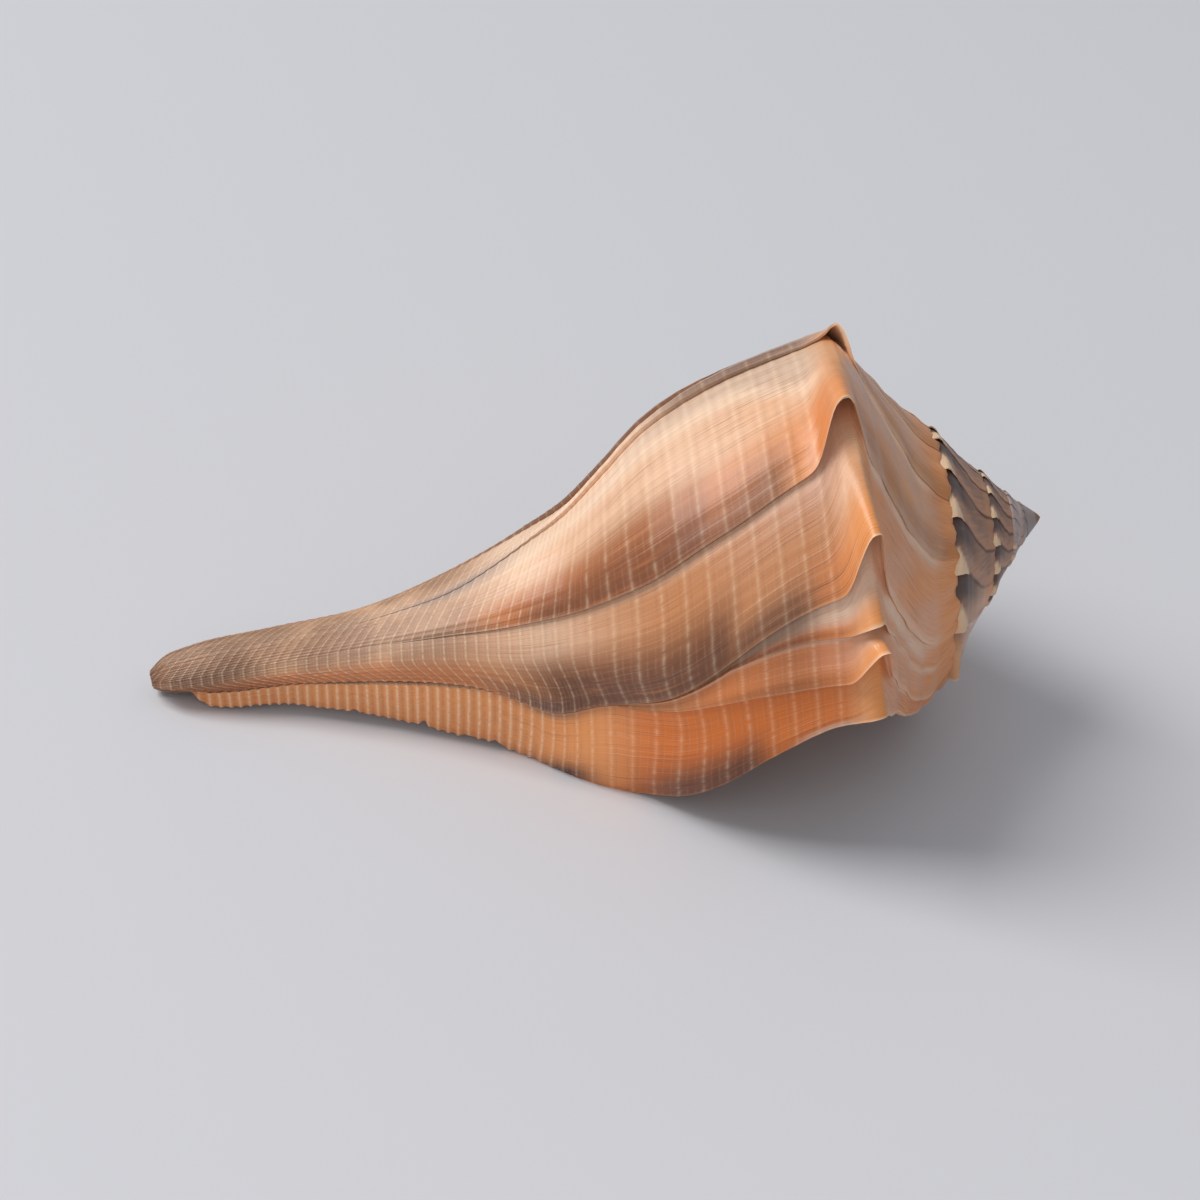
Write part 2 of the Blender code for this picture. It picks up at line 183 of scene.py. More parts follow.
# Rows of points, and where they have their points along the section
SUTURE_SINK = 0.0012      # both ends of a row sink a little into the shell
RIM_RADIUS = 0.0036
SHARP_ANGLE = 50.0
ROW_ANGLE = 1.35
ROWS_OF_STAGE = (9, 27)
ROW_POWER = 1.25          # rows stand closer toward the old lip edge
MIDDLE_ROWS = 13
EARLY_ROWS = 7
BODY_STAGES = 14
MIDDLE_FROM = -640.0
RAMP_PART = np.concatenate([np.linspace(-1.0, -0.32, 30), np.linspace(-0.30, -0.015, 18)])
FLANK_PART = np.concatenate([np.linspace(0.0, 0.08, 18), np.linspace(0.0848, 1.0, 184)])
BODY_SECTION = np.concatenate([RAMP_PART, FLANK_PART])
MIDDLE_RAMP = np.linspace(-1.0, -0.03, 28)
MIDDLE_SECTION = np.concatenate([MIDDLE_RAMP, np.linspace(0.0, 0.1, 10), np.linspace(0.12, 1.0, 50)])
SPIRE_SECTION = np.concatenate([np.linspace(-1.0, -0.03, 24), np.linspace(0.0, 0.25, 12)])

# Dark bands: growth stage counted back from the lip, share of the stage where the band starts and where it
# is full, strength, and its reach along the section; the oldest row holds for all earlier stages
OLDEST_BAND = -6.0
DARK_BANDS = (
    (-3.0, 0.28, 0.78, 0.88, 0.16, 0.42),
    (-3.0, 0.60, 0.96, 0.70, 0.06, 0.48),
    (-4.0, 0.50, 0.96, 0.80, 0.17, 0.42),
    (-4.0, 0.62, 1.00, 0.72, 0.07, 0.24),
    (-4.0, 0.78, 1.00, 0.40, 0.30, 0.60),
    (-5.0, 0.42, 0.85, 0.72, 0.01, 0.20),
    (-6.0, 0.42, 0.90, 0.80, 0.01, 0.50),
    (-2.0, -0.60, 0.00, 0.62, 0.06, 0.20),
    (-1.0, -0.60, 0.10, 0.30, 0.06, 0.12),
    # partly painted shade: the body's underside by the lip, where it turns under toward the floor, darker
    # than its own brown
    (0.0, 0.40, 0.85, 0.90, 0.14, 0.27),
)

# Single spots: growth stage, centre in the stage and along the section, both widths, strength
DARK_SPOTS = (
    (0.0, 0.88, 0.430, 0.20, 0.038, 1.0),
)
SLATE_SPOTS = (
    (-5.0, 1.00, 0.55, 0.16, 0.09, 0.65),
    (-4.0, 0.00, 0.55, 0.16, 0.09, 0.65),
    (-5.0, 0.75, 0.10, 0.30, 0.10, 0.40),
    (-3.0, 0.96, 0.455, 0.07, 0.045, 0.80),
    (0.0, 0.04, 0.45, 0.05, 0.05, 0.60),
)


def linear(colour):
    """Linear colour from 0 to 255 display values."""
    share = np.array(colour) / 255.0
    flat = np.where(share <= 0.04045, share / 12.92, ((share + 0.055) / 1.055) ** 2.4)
    return (float(flat[0]), float(flat[1]), float(flat[2]), 1.0)


# Colours of the shell
TAN = linear((232, 176, 132))
TAN_DEEP = linear((220, 154, 106))
BROWN_TAN = linear((200, 132, 82))
ORANGE = linear((222, 116, 34))
# light orange of the ramp, also used for painted highlights
AMBER_AND_HIGHLIGHT = linear((242, 154, 82))
# pinkish white of the pale strips, also used for painted highlights
PINK_WHITE = linear((255, 224, 196))
DARK_BROWN = linear((92, 50, 32))
OLD_GREY = linear((146, 110, 86))
SLATE = linear((112, 104, 108))
SPIRE_DARK = linear((92, 74, 70))
SPIRE_GREY = linear((158, 126, 114))
SPIRE_BLUE = linear((196, 180, 178))
SPIRE_TAN = linear((200, 148, 116))
# dark brown of the spire's lines, also painted shade under its old edges
SPIRE_LINE_AND_SHADE = linear((84, 48, 34))
SPIRE_CREAM = linear((242, 208, 172))
TIP_BROWN = linear((150, 100, 70))
TIP_GREY = linear((158, 144, 142))
LAVENDER = linear((222, 178, 160))
# brown of the growth rings, also painted shade between cords and flutes
GROWTH_BROWN_AND_SHADE = linear((150, 92, 60))
CORD_PALE = linear((255, 226, 192))
RING_SHADE = linear((198, 176, 158))
EDGE_PALE = linear((246, 212, 180))
SCOOP_PALE = linear((246, 214, 178))
PEACH = linear((240, 190, 146))
PEACH_DEEP = linear((226, 160, 112))

SHELL_IOR = 1.53
GRAIN_STRENGTH = 0.35
GRAIN_HEIGHT = 0.00015

FLOOR_COLOUR = linear((214, 214, 219))
FLOOR_ROUGHNESS = 0.6
FLOOR_REACH = 3.0

# The camera's own axes, right, up and back, its place from the shell's tip along them, and its lens
CAMERA_ROWS = ((0.9844, -0.1508, 0.0909), (0.0039, 0.5348, 0.8450), (-0.1761, -0.8314, 0.5270))
CAMERA_FROM_TIP = (-0.07328, -0.01382, 0.433)
LENS = 78.0
SENSOR = 36.0

# Lights: name, place, side, power, colour
LIGHTS = (
    ("window", (-2.25, 0.85, 2.70), 2.2, 102.0, (1.0, 0.985, 0.96)),
    ("fill", (-0.45, -0.85, 0.60), 0.9, 2.0, (1.0, 1.0, 1.0)),
)
WORLD_COLOUR = (0.80, 0.84, 0.88, 1.0)
WORLD_STRENGTH = 0.40


def smooth(x):
    """Soft step from 0 to 1."""
    x = np.clip(x, 0.0, 1.0)
    return x * x * (3.0 - 2.0 * x)


def bump(x, centre, width):
    """Bell of height 1."""
    return np.exp(-((x - centre) / width) ** 2)


def rise(x, start, span):
    """Soft step up from 0 to 1."""
    return smooth((x - start) / span)


def fade(x, start, span):
    """Soft step down from 1 to 0."""
    return 1.0 - smooth((x - start) / span)


def curve(x, at, values):
    """Smooth curve through a few points."""
    at = np.array(at)
    values = np.array(values)
    slope = np.gradient(values, at)
    i = np.clip(np.searchsorted(at, x) - 1, 0, len(at) - 2)
    width = at[i + 1] - at[i]
    s = (x - at[i]) / width
    return (values[i] * (1 + 2 * s) * (1 - s) ** 2 + values[i + 1] * s * s * (3 - 2 * s)
            + width * s * (1 - s) * (slope[i] * (1 - s) - slope[i + 1] * s))


def size(angle):
    """Size of the whorl at a spiral angle, 1 at the lip."""
    turns = np.asarray(angle) / 360.0
    bend = (LATE_RATE - EARLY_RATE) / RATE_BEND
    return np.exp(EARLY_RATE * turns - bend * (1.0 - np.exp(RATE_BEND * turns)))


def shoulder(angle):
    """Height below the apex and radius of the shoulder."""
    return SHOULDER_DROP * size(angle) ** DROP_POWER, SHOULDER_RADIUS * size(angle)


def older(angle):
    """0 on the newest half turn, 1 before it."""
    return smooth((angle - SLIM_FROM) / (SLIM_FULL - SLIM_FROM))


def profile(angle, p):
    """Height below the apex and radius of the smooth section, from -1 suture over 0 shoulder to 1 canal."""
    top_a, top_r = shoulder(np.asarray(angle) - 360.0)
    top_a = top_a * SUTURE_DROP
    edge_a, edge_r = shoulder(angle)
    q = np.clip(1.0 + p, 0.0, 1.0)
    w = np.clip(p, 0.0, 1.0)
    sag = RAMP_SAG * (edge_r - top_r) * 4.0 * q * (1.0 - q)
    ramp_a = top_a + (edge_a - top_a) * q + sag
    ramp_r = top_r + (edge_r - top_r) * q
    flare = curve(w, FLARE_AT, FLARE_RADIUS) * smooth((angle - FLARE_START) / (FLARE_FULL - FLARE_START))
    bulge = smooth((angle - LIP_BELLY_FROM) / LIP_BELLY_SPAN)
    flare = flare + LIP_BELLY * bump(w, LIP_BELLY_AT, LIP_BELLY_WIDTH) * bulge
    step = CANAL_STEP * smooth((angle - CANAL_STEP_FROM) / (CANAL_STEP_FULL - CANAL_STEP_FROM))
    flank_a = edge_a + (LENGTH - step - edge_a) * w
    slim = 1.0 - SLIM_SHARE * older(angle) * smooth(w / 0.1)
    flank_r = edge_r * (curve(w, FLANK_AT, FLANK_RADIUS) * slim + flare)
    nose = np.clip((w - NOSE_FROM) / (1.0 - NOSE_FROM), 0.0, 1.0)
    flank_r = flank_r * (1.0 - (1.0 - NOSE_LEAST) * nose ** 2)
    return np.where(p < 0, ramp_a, flank_a), np.where(p < 0, ramp_r, flank_r)


def rounded(angle, p):
    """The section with its shoulder rounded over."""
    edge_a, edge_r = shoulder(angle)
    top_a, top_r = shoulder(np.asarray(angle) - 360.0)
    ramp = np.hypot(edge_r - top_r, edge_a - top_a * SUTURE_DROP)
    flank = LENGTH - edge_a
    along = p * np.where(p < 0, ramp, flank)
    radius = SHOULDER_ROUND * size(angle)
    reach = radius * (1.0 - smooth((np.abs(along) / radius - 1.0) / 2.0))
    a, r = 0.0, 0.0
    for share, weight in ROUNDING:
        at = along + share * reach
        part_a, part_r = profile(angle, np.where(at < 0, at / ramp, at / flank))
        a, r = a + part_a * weight / ROUNDING_SUM, r + part_r * weight / ROUNDING_SUM
    return a, r


def raised(angle, p, height):
    """The section's points, raised off the smooth surface."""
    a, r = rounded(angle, p)
    a0, r0 = rounded(angle, np.clip(p - SECTION_STEP, -1.0, 1.0))
    a1, r1 = rounded(angle, np.clip(p + SECTION_STEP, -1.0, 1.0))
    run = np.hypot(a1 - a0, r1 - r0)
    return a - (r1 - r0) / run * height, r + (a1 - a0) / run * height


def all_pauses():
    """Every growth pause from the early spire to the lip."""
    rows = list(LAST_PAUSES)
    angle = rows[0][0]
    while angle > FIRST_ANGLE:
        late = float(smooth((angle - SPIRE_TO) / SPIRE_BLEND))
        angle -= SPIRE_SPACING + (SPINE_SPACING - SPIRE_SPACING) * late
        spine = SPINE_HEIGHT * float(size(angle + SPINE_AHEAD)) * (SPIRE_SHARE + (1.0 - SPIRE_SHARE) * late)
        if WORN_FROM < angle < WORN_TO:
            spine *= WORN_SHARE
        elif WORN_TO < angle < TALL_TO:
            spine *= TALL_SHARE
        notch, reach, full, power, ramp = EARLIER_PAUSE
        rows.insert(0, (angle, notch * late, reach * late, full, power, ramp * late, spine))
    return rows


def pause_angles(pauses, p):
    """Spiral angle of every old lip edge along the section, each a little past the one before."""
    w = np.clip(p, 0.0, 1.0)
    lines = []
    for at, notch, reach, full, power, ramp, spine in pauses:
        bow = np.sin(0.5 * math.pi * np.clip(w / full, 0.0, 1.0)) ** power
        off = p - OFF_SHOULDER.get(len(lines) - len(pauses) + 1, 0.0)
        beside = np.where(off < 0, -off / NOTCH_SUTURE_SHARE, off / NOTCH_SHARE)
        line = at + notch * (1.0 - np.exp(-beside ** 3)) + reach * bow + ramp * smooth(-p)
        if lines:
            line = np.maximum(line, lines[-1] + PAUSE_GAP)
        lines.append(line)
    return lines


def place(a, r, angle):
    """From height, radius and spiral angle to the shell's own axes: apex at the origin, canal toward -X."""
    turn = np.radians(-angle)
    return np.stack([-a, r * np.sin(turn), r * np.cos(turn)], axis=-1)


def uneven_lines(pauses, p):
    """The old lip edges as they wander, and the newest with its small breaks along the canal."""
    lines = pause_angles(pauses, p)
    for k, line in enumerate(lines):
        late = float(smooth((pauses[k][0] - SPIRE_TO) / SPIRE_BLEND))
        sweep = SPIRE_SWEEP * (1.0 - late) * smooth(-p) ** 1.5
        lines[k] = line + WOBBLE * waves(p * 22.0, 1.3 * k, k % 5) + sweep
    w = np.clip(p, 0.0, 1.0)
    lines[BELLY_EDGE] = lines[BELLY_EDGE] + BELLY_ADVANCE * bump(p, BELLY_AT, BELLY_WIDTH)
    canal = smooth((w - 0.42) / 0.1)
    flutes = 0.15 * np.cos(2.0 * math.pi * cord_phase(p, 0.0)) + 1.0 * waves(p * 55.0, 0.0, 6)
    lines[-1] = lines[-1] + canal * flutes - LIP_CUT * bump(w, LIP_CUT_AT, LIP_CUT_WIDTH)
    for at, width, depth in NOTCHES:
        lines[-1] = lines[-1] - depth * bump(w, at, width) * smooth((w - at + width) / width)
    for k in range(1, len(lines)):
        lines[k] = np.maximum(lines[k], lines[k - 1] + 0.5)
    return lines


def cord_phase(p, angle):
    """Counts the spiral cords along the section: wide apart on the body, close on the lower flank."""
    fine = np.linspace(-1.0, 1.0, 2001)
    close = smooth((fine - 0.34) / 0.12)
    spacing = CORD_SPACING + (CORD_CLOSE - CORD_SPACING) * close
    reach = np.where(fine < 0, 0.030, 0.118)
    phase = np.cumsum(reach / spacing) * (fine[1] - fine[0])
    lean = CORD_LEAN * smooth((p - 0.32) / 0.16) * np.minimum(angle - CORD_LEAN_TO, 0.0) / 360.0
    return np.interp(p, fine, phase) - lean


def waves(x, y, seed, count=5):
    """Smooth uneven field between about -1 and 1, from a few crossed waves."""
    total = np.zeros(np.broadcast(x, y).shape)
    for i in range(count):
        turn = 2.399 * (i + seed)
        rate = 1.0 + 0.37 * i
        total = total + np.sin(rate * (x * math.cos(turn) + y * math.sin(turn)) + 1.7 * (seed + i * i))
    return total / count * 1.5


def surface_relief(angle, u, p, k):
    """Uneven relief of the surface itself: low waves, spiral cords and fine growth rings."""
    scale = size(angle)
    phase = cord_phase(p, angle)
    cord = (0.5 + 0.5 * np.cos(2.0 * math.pi * phase)) ** 3
    flank = smooth((p - 0.02) / 0.04) * (1.0 - 0.4 * smooth((p - 0.9) / 0.1))
    ramp_cords = 0.4 * smooth((-p - 0.1) / 0.2)
    strength = np.maximum(flank * (0.8 + 1.1 * smooth((p - 0.36) / 0.12)), ramp_cords)
    rings = np.sin(2.0 * math.pi * (u * 9.0 + 0.35 * waves(p * 6.0, u * 3.0, k)))
    low = waves(angle * 0.06, p * 16.0, 3)
    flute = smooth((p - 0.40) / 0.1) * smooth((angle + 12.0) / 20.0) * smooth(u / 0.5)
    height = CORD_HEIGHT * cord * strength + RING_HEIGHT * rings + WAVE_HEIGHT * low
    height = height + FLUTE_HEIGHT * flute * np.cos(2.0 * math.pi * phase)
    return height * np.clip(scale, 0.2, 1.0)


def stage_point(start, end, spine_height, u, p, k):
    """A row of one growth stage: its outer points, the bare points below them and its angle."""
    angle = (1.0 - u) * start + u * end
    edge_a, edge_r = shoulder(angle)
    scale = size(angle)
    top_a, top_r = shoulder(angle - 360.0)
    reach = np.where(p < 0, np.hypot(edge_r - top_r, edge_a - top_a * SUTURE_DROP), LENGTH - edge_a)
    early = smooth((-angle - 330.0) / 40.0)
    width = (KNOB_WIDTH + (SPIRE_KNOB_WIDTH - KNOB_WIDTH) * early) * SPINE_WIDTH
    off = (p * reach - SPINE_OFF.get(k, 0.0)) / (width * np.maximum(scale, LEAST_SPINE_SCALE))
    share = 1.0 / (1.0 + 0.3 * off * off + off ** 4)
    spine = KNOB_TOP * spine_height * u ** 2.6 * share * (1.0 - 0.40 * early * smooth((u - 0.80) / 0.2))
    swell = SWELL * u ** 2.0 * (1.0 - ROLL_OVER * rise(u, ROLL_FROM, 1.0 - ROLL_FROM) * (1.0 - share))
    swell = swell * np.clip((end - start) / NARROW_STAGE, 0.3, 1.0)
    ledge = LEDGE * scale * curve(p, LEDGE_AT, LEDGE_SHARE) * swell
    ledge = ledge * (1.0 - 0.5 * older(angle)) * (1.0 - 0.5 * early)
    ledge = ledge * (1.0 - 0.8 * smooth((p - FADE_FROM.get(k, FADE_OLD)) / 0.12)) * LEDGE_PART.get(k, 1.0)
    skin = surface_relief(angle, u, p, k)
    a, r = raised(angle, p, ledge + skin)
    climb = SUTURE_CLIMB * scale * (waves(angle * 0.30, 0.0, 1) + 0.3) * smooth((-p - 0.80) / 0.2)
    a = a - climb
    base_a, base_r = raised(angle, p, skin)
    base_a = base_a - climb
    outer = place(a - SPINE_LEAN * spine, r + spine, angle)
    return outer, place(base_a, base_r, angle), angle, share


class Grid:
    """Rows of points with their fields, from the suture to the canal, sunk a little at both ends."""

    def __init__(self, p):
        self.p = np.array(p)
        self.p_all = np.concatenate([self.p[:1], self.p, self.p[-1:]])
        self.rows = []
        self.fields = {name: [] for name in ("stage", "turn", "hollow", "edge", "inside", "count", "knob")}

    def add(self, points, stage, turn, count, hollow=0.0, edge=0.0, inside=0.0, knob=0.0):
        first, last = points[0].copy(), points[-1].copy()
        radius = math.hypot(first[1], first[2])
        first[1:] *= max(1.0 - SUTURE_SINK * min(radius / 0.02, 1.0) / radius, 0.2)
        radius = math.hypot(last[1], last[2])
        last[1:] *= min(1.0, RIM_RADIUS / radius)
        self.rows.append(np.concatenate([first[None], points, last[None]]))
        given = {"stage": stage, "turn": turn, "count": count, "hollow": hollow, "edge": edge,
                 "inside": inside, "knob": knob}
        for name, value in given.items():
            row = np.broadcast_to(np.asarray(value, float), self.p.shape)
            self.fields[name].append(np.concatenate([row[:1], row, row[-1:]]))


def thinned(outer, base, angle, least):
    """How far out an old lip edge's underside stands, between the bare surface at 0 and its top at 1."""
    height = np.linalg.norm(outer - base, axis=-1, keepdims=True) + 1e-9
    return np.clip(1.0 - EDGE_THICKNESS * np.clip(size(angle), 0.2, 1.0)[:, None] / height, least, 1.0)


def add_stage(grid, lines, pauses, k, shares, last):
    """Rows of one growth stage, its old lip edge and the hollow behind that edge."""
    start, end, height = lines[k - 1], lines[k], pauses[k][6]
    count = k - len(pauses) + 1
    p = grid.p
    for u in shares:
        outer, base, angle, share = stage_point(start, end, height, u, p, count)
        edge = smooth((u - 0.985) / 0.015)
        grid.add(outer, u, angle / 360.0, count, edge=edge, knob=share * u ** 2)
    if last:
        return
    outer, base, angle, share = stage_point(start, end, height, 1.0, p, count)
    under = base + (outer - base) * thinned(outer, base, angle, 0.3)
    grid.add(under, 1.0, angle / 360.0, count, edge=1.0, hollow=0.5 * share, knob=share)
    back = 1.0 - (SCOOP_LEAST + SCOOP_DEPTH * share)
    outer_b, base_b, angle_b, share_b = stage_point(start, end, height, back, p, count)
    proud = (outer_b - base_b) * thinned(outer_b, base_b, angle, 0.15)
    grid.add(base_b + proud, 1.0, angle_b / 360.0, count, edge=0.3, hollow=share)
    grid.add(base_b + proud * 0.25, 0.0, angle_b / 360.0, count + 1.0, hollow=share)


def build_mesh(name, grids):
    """Mesh of the rows of some grids, with their fields as point attributes, where the shell lies."""
    turn = Matrix.Rotation(math.radians(PITCH), 3, 'Y') @ Matrix.Rotation(math.radians(ROLL), 3, 'X')
    points, faces, fields = [], [], {}
    first = 0
    for grid in grids:
        rows = np.array(grid.rows)
        n_rows, n_cols = rows.shape[:2]
        index = first + np.arange(n_rows * n_cols).reshape(n_rows, n_cols)
        quads = np.stack([index[:-1, :-1], index[:-1, 1:], index[1:, 1:], index[1:, :-1]], axis=-1)
        faces.append(quads.reshape(-1, 4))
        points.append(rows.reshape(-1, 3))
        for key, value in grid.fields.items():
            fields.setdefault(key, []).append(np.array(value).reshape(-1))
        fields.setdefault("section", []).append(np.tile(grid.p_all, n_rows))
        first += n_rows * n_cols
    world = np.concatenate(points) @ np.array(turn).T + np.array(SHIFT)
    world[:, 2] = np.maximum(world[:, 2], 0.0)
    mesh = bpy.data.meshes.new(name)
    mesh.from_pydata(world.tolist(), [], np.concatenate(faces).tolist())
    fields = {key: np.concatenate(value) for key, value in fields.items()}
    fields["cords"] = cord_phase(fields["section"], fields["turn"] * 360.0)
    fields.update(colour_fields(fields))
    for key, value in fields.items():
        mesh.attributes.new(key, 'FLOAT', 'POINT').data.foreach_set("value", value.astype(np.float32))
    mesh.shade_smooth()
    mesh.set_sharp_from_angle(angle=math.radians(SHARP_ANGLE))
    made = bpy.data.objects.new(name, mesh)
    bpy.context.scene.collection.objects.link(made)
    return made


def add_lip(grid, line, height):
    """The lip's rounded edge and the inner face of the last whorl, back from the lip."""
    p = grid.p
    outer, base, angle, share = stage_point(line - LIP_STAGE, line, height, 1.0, p, 0)
    radius = np.linalg.norm(outer[:, 1:], axis=-1)
    for depth, advance in LIP_STEPS:
        a, r = raised(line, p, -LIP_WALL * depth)
        r = np.maximum(r, CANAL_INNER + LIP_WALL * (1.0 - depth))
        r = np.minimum(r, raised(line, p, 0.0)[1] - NOSE_SKIN * depth)
        low = place(a, r, line + advance * LIP_ADVANCE / np.maximum(radius, 0.01))
        lift = (outer - base) * (1.0 - smooth(depth))
        grid.add(low + lift, 1.0, line / 360.0, 0.0, edge=1.0 - depth, inside=depth)
    for t in np.linspace(0.0, 1.0, INNER_ROWS) ** 1.6:
        turn = line - 0.6 - t * INNER_TURN
        wall = LIP_WALL + (WALL - LIP_WALL) * smooth(t * 8.0)
        a, r = raised(turn, p, -wall * size(turn) ** 0.5)
        r = np.minimum(np.maximum(r, CANAL_INNER), raised(turn, p, 0.0)[1] - NOSE_SKIN)
        grid.add(place(a, r, turn), 1.0 - t, turn / 360.0, 0.0, inside=1.0)


class Places:
    """Where the points are: in which growth stage, and how much on the ramp, the flank or the canal."""

    def __init__(self, fields):
        self.u, self.p = fields["stage"], fields["section"]
        self.turn, self.count = fields["turn"], fields["count"]
        self.flank = rise(self.p, 0.01, 0.05)
        self.ramp = rise(-self.p, 0.02, 0.08)
        self.canal = rise(self.p, 0.46, 0.14)
        self.body = self.flank * (1.0 - self.canal)
        self.newest = smooth(self.count + 1.0)
        self.strip = self.newest * rise(self.p, 0.42, 0.1)
        self.stage = {number: self.in_stage(number) for number in range(-5, 1)}
        self.worn_to = np.maximum(0.58 - 2.3 * self.p, 0.24)

    def in_stage(self, number):
        return np.abs(self.count - number) < 0.5


def strongest(*shares):
    """The highest of several shares at every point."""
    return np.maximum.reduce(shares)


def spots(here, rows):
    """Single soft spots, one for each row of a list."""
    total = np.zeros(here.u.shape)
    for at, centre_u, centre_p, width_u, width_p, strength in rows:
        spot = bump(here.u, centre_u, width_u) * bump(here.p, centre_p, width_p)
        total = np.maximum(total, here.in_stage(at) * strength * spot)
    return total


def dark_share(here):
    """Dark brown: bands before the old lip edges, a spot at the lip and the canal's end; under the body by
    the lip a brown mark is darkened further with painted shade, where the body turns under toward the
    floor.
    """
    u, p, count = here.u, here.p, here.count
    wander = 0.06 * waves(p * 14.0, count * 2.1, 2)
    bands = []
    for at, start, full, strength, low, high in DARK_BANDS:
        there = here.in_stage(at) if at > OLDEST_BAND else count < OLDEST_BAND + 0.5
        reach = rise(p, low, 0.05) * fade(p, high, 0.10)
        bands.append(there * strength * reach * rise(u - wander, start, full - start))
    return strongest(
        *bands,
        spots(here, DARK_SPOTS),
        0.50 * rise(p, 0.76, 0.2) * (1.0 - here.newest),
        0.30 * here.ramp * (count < -3.5) * rise(u, 0.5, 0.3),
    )


def slate_share(here):
    """Bluish grey: spots beside old lip edges, and the worn flank behind the tall spine."""
    worn = here.stage[-4] * here.flank * fade(here.u, here.worn_to - 0.08, 0.05) * fade(here.p, 0.22, 0.14)
    return np.maximum(spots(here, SLATE_SPOTS), 0.24 * worn)


def shade_share(here):
    """Brownish tan: the body of the newer stages."""
    stage = here.stage
    newer = stage[-3] + 0.9 * stage[-2] + 0.8 * stage[-1]
    return here.body * (newer + 0.6 * stage[-4] * rise(here.u, 0.42, 0.3))


def old_share(here):
    """Greyish brown: the canal and the stages of the far side."""
    canal = here.canal * (1.0 - here.newest) * (0.80 - 0.5 * here.stage[-3] * rise(here.u, 0.3, 0.5))
    return np.maximum(canal, 0.55 * here.flank * rise(-here.count, 5.4, 0.6))


def pale_share(here):
    """Pinkish white: worn strips after old lip edges and spines, and light seams on the ramp; painted
    highlights on the top of the fourth stage back and on the shoulder of the second stage back.
    """
    u, p, stage = here.u, here.p, here.stage
    return strongest(
        # the fourth stage back: a pale strip of its own, lightened further on its top as painted highlight
        # where light falls
        0.80 * stage[-4] * here.body * fade(u, here.worn_to, 0.20),
        0.42 * stage[-4] * here.body * fade(u, 0.52, 0.22),
        0.90 * stage[-4] * here.flank * bump(u, here.worn_to, 0.02) * fade(p, 0.2, 0.1),
        0.72 * stage[-5] * here.flank * (1.0 - 0.6 * here.canal),
        0.50 * stage[-3] * bump(p, 0.44, 0.10) * fade(u, 0.3, 0.4),
        0.45 * here.flank * (1.0 - here.newest) * fade(u, 0.0, 0.14),
        0.50 * here.newest * here.flank * rise(u, 0.86, 0.06) * fade(p, 0.09, 0.05),
        # painted highlight on the shoulder of the second stage back, reaching onto the ramp
        0.60 * stage[-2] * fade(u, 0.40, 0.40) * fade(p, 0.16, 0.16) * fade(-p, 0.5, 0.3),
        0.65 * here.ramp * bump(u, 0.03, 0.09) * fade(-p, 0.7, 0.25),
        0.40 * here.ramp * rise(u, 0.86, 0.1) * fade(-p, 0.7, 0.25),
    )


def lavender_share(here):
    """Pinkish lavender: streaks on the ramp, and the shoulder between the spines; on the shoulder of the
    third stage back it is a painted highlight.
    """
    u, p, stage = here.u, here.p, here.stage
    streaks = smooth(0.5 + 0.9 * waves(here.turn * 70.0, p * 2.0, 4))
    ramp = here.ramp * (0.10 + 0.35 * streaks + 0.5 * fade(here.count, -3.6, 0.4) * fade(u, 0.3, 0.4))
    ramp = np.maximum(ramp, 0.7 * here.ramp * bump(u, 0.05, 0.12) * (1.0 - here.newest))
    shoulder_line = bump(here.count, -1.6, 0.75) * fade(p, 0.04, 0.08) * rise(p, -0.8, 0.2)
    return strongest(
        ramp * (1.0 - 0.8 * rise(-p, 0.7, 0.2)),
        # painted highlight on the shoulder of the third stage back
        0.45 * stage[-3] * bump(p, 0.05, 0.10) * fade(u, 0.1, 0.4),
        0.55 * stage[-5] * here.body,
        0.60 * shoulder_line * fade(u, 0.5, 0.4),
    )


def rust_share(here):
    """Burnt orange: the newest stage, and the flank beside the spines."""
    u, p, stage = here.u, here.p, here.stage
    late = rise(u, 0.5, 0.35)
    streaks = smooth(waves(here.turn * 38.0, p * 1.2, 9) * 1.6)
    small_spines = stage[-2] * rise(u, 0.4, 0.3) + stage[-1]
    return strongest(
        here.newest * here.flank * (1.0 - 0.8 * rise(p, 0.30, 0.12)),
        0.75 * stage[-4] * bump(p, 0.05, 0.03) * late,
        0.60 * stage[-4] * here.body * rise(u, 0.60, 0.22),
        0.50 * stage[-3] * bump(p, 0.05, 0.04) * late,
        0.75 * stage[-3] * here.canal * rise(u, 0.25, 0.5),
        0.65 * here.flank * small_spines * fade(p, 0.2, 0.15),
        0.35 * here.ramp * streaks * (here.count > -3.5),
        0.60 * here.strip * rise(u, 0.45, 0.5),
    )


def amber_and_highlight_share(here):
    """Light orange: the ramp's own colour; a painted highlight along the shoulder line; and from the newest
    stage's lower flank to the lip along the canal, a lighter orange that is partly painted light where
    light falls on it.
    """
    u, p, count = here.u, here.p, here.count
    return strongest(
        here.ramp * (0.85 * (count > -3.5) + 0.35 * (count < -3.5) * rise(u, 0.3, 0.4)),
        0.85 * here.ramp * rise(-p, 0.75, 0.2),
        0.55 * here.stage[-4] * bump(p, 0.09, 0.07) * rise(u, 0.25, 0.2),
        # partly painted light: the newest stage's lower flank and canal lip, lighter where light falls on
        # them
        0.80 * here.newest * rise(p, 0.30, 0.12),
        # painted highlight along the shoulder line
        0.80 * bump(p, 0.0, 0.035) * rise(u, 0.5, 0.35) * (count > -4.5),
        0.80 * bump(p, 0.0, 0.04) * here.newest,
    )


